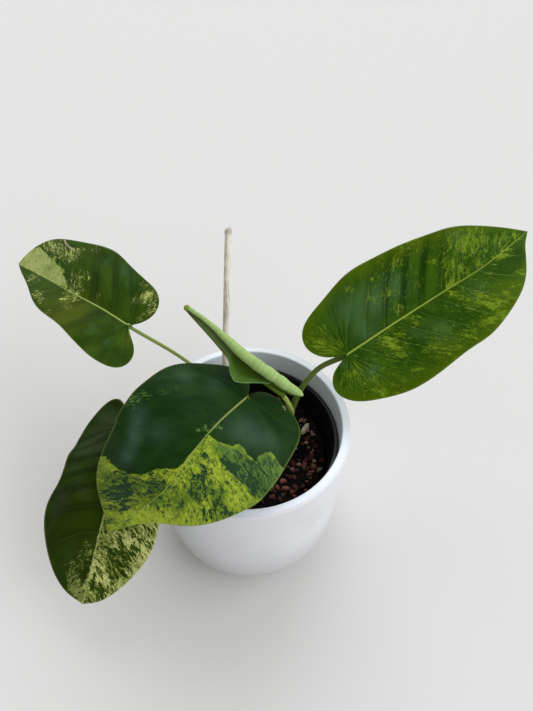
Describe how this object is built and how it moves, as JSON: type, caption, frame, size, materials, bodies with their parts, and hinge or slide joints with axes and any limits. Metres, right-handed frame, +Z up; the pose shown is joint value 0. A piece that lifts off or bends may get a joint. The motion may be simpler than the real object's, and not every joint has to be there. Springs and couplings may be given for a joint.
{
  "type": "potted variegated homalomena",
  "caption": "Potted homalomena house plant: heart-shaped variegated leaves on long stalks, a new leaf still rolled, a thin stake, and a white planter round a black nursery pot.",
  "frame": {"origin": "centre of the planter's flat base", "axes": "+Z up; -Y towards the side that the picture was taken from; +X towards the longest leaf"},
  "size_m": [0.4107, 0.2604, 0.2663],
  "materials": {
    "white_glaze": "white satin glaze",
    "black_plastic": "smooth, semi-gloss",
    "potting_mix": "loose dark bark with lava and pumice pieces",
    "stake_wood": "weathered, grey-beige",
    "stalk": "smooth green stalk",
    "leaf": "satin leaf, deep green with lime and cream marbling",
    "new_leaf": "satin, pale lime outside"
  },
  "bodies": {
    "root": {"outer_pot": "white_glaze", "nursery_pot": "black_plastic", "soil": "potting_mix", "stake": "stake_wood", "stem_and_stalks": "stalk", "blade_front": "leaf", "blade_lower_left": "leaf", "blade_upper_left": "leaf", "blade_right": "leaf", "blade_new_leaf": "new_leaf"}
  },
  "joints": []
}
